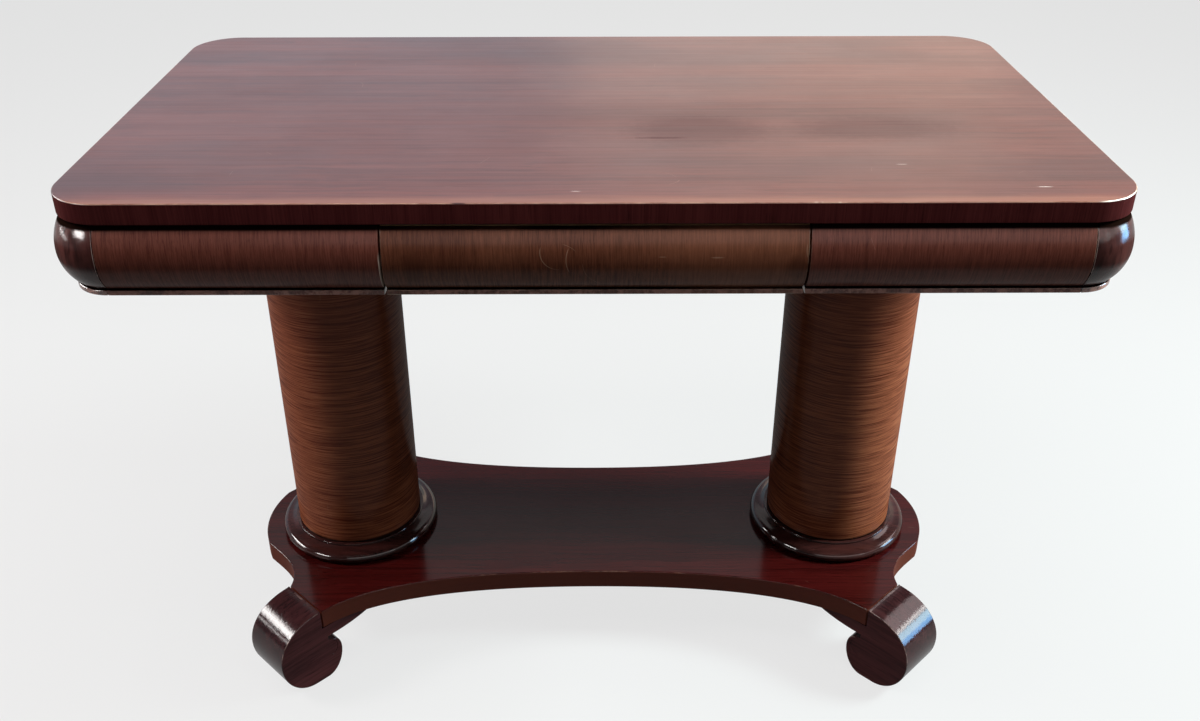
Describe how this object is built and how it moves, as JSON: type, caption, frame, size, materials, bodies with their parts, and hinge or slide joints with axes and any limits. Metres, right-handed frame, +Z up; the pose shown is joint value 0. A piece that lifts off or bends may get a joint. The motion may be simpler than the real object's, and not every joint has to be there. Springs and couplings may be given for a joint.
{
  "type": "pedestal library table",
  "caption": "Rectangular mahogany library table: round-cornered top on a cushion-moulded apron with a hidden drawer, carried by round columns on a waisted platform with scroll feet.",
  "frame": {"origin": "on the floor under the middle of the table", "axes": "+Z up, +X along the table's length to the right as seen from the drawer side, the drawer opens towards -Y"},
  "size_m": [1.159, 0.641, 0.762],
  "materials": {
    "polished_top": "semi-gloss polished mahogany, grain along the length",
    "crotch_veneer": "semi-gloss mahogany veneer, grain upright",
    "dark_turning": "glossy dark turned mahogany",
    "column_veneer": "semi-gloss striped mahogany veneer wrapped round, grain level",
    "platform_mahogany": "semi-gloss dark red mahogany, grain along the length",
    "scroll_mahogany": "glossy dark mahogany",
    "raw_poplar": "unfinished, planed",
    "plain_steel": "plain, slightly dulled"
  },
  "bodies": {
    "table": {"top_panel": "polished_top", "apron_front_left": "crotch_veneer", "apron_front_right": "crotch_veneer", "apron_rear": "crotch_veneer", "apron_end_left": "crotch_veneer", "apron_end_right": "crotch_veneer", "corner_block_front_left": "dark_turning", "corner_block_front_right": "dark_turning", "corner_block_rear_left": "dark_turning", "corner_block_rear_right": "dark_turning", "corner_brace_front_left": "raw_poplar", "corner_brace_front_right": "raw_poplar", "corner_brace_rear_left": "raw_poplar", "corner_brace_rear_right": "raw_poplar", "top_screw_front_left": "plain_steel", "top_screw_front_right": "plain_steel", "top_screw_rear_left": "plain_steel", "top_screw_rear_right": "plain_steel", "bearer_left": "raw_poplar", "bearer_right": "raw_poplar", "drawer_runner_left": "raw_poplar", "drawer_runner_right": "raw_poplar", "drawer_kicker_left": "raw_poplar", "drawer_kicker_right": "raw_poplar", "drawer_stop_left": "raw_poplar", "drawer_stop_right": "raw_poplar", "column_left": "column_veneer", "column_right": "column_veneer", "lower_plug_left": "raw_poplar", "lower_plug_right": "raw_poplar", "upper_plug_left": "raw_poplar", "upper_plug_right": "raw_poplar", "base_ring_left": "dark_turning", "base_ring_right": "dark_turning", "tie_rod_left": "plain_steel", "tie_rod_right": "plain_steel", "lower_washer_left": "plain_steel", "lower_washer_right": "plain_steel", "upper_washer_left": "plain_steel", "upper_washer_right": "plain_steel", "lower_nut_left": "plain_steel", "lower_nut_right": "plain_steel", "upper_nut_left": "plain_steel", "upper_nut_right": "plain_steel", "platform": "platform_mahogany", "scroll_foot_front_left": "scroll_mahogany", "scroll_foot_front_right": "scroll_mahogany", "scroll_foot_rear_left": "scroll_mahogany", "scroll_foot_rear_right": "scroll_mahogany", "foot_screw_front_left": "plain_steel", "foot_screw_front_right": "plain_steel", "foot_screw_rear_left": "plain_steel", "foot_screw_rear_right": "plain_steel"},
    "drawer": {"drawer_front": "crotch_veneer", "drawer_side_left": "raw_poplar", "drawer_side_right": "raw_poplar", "drawer_back": "raw_poplar", "drawer_bottom": "raw_poplar"}
  },
  "joints": [
    {"name": "drawer_slide", "type": "slide", "parent": "table", "child": "drawer", "axis": [0, -1, 0], "range_m": [0, 0.35]}
  ]
}
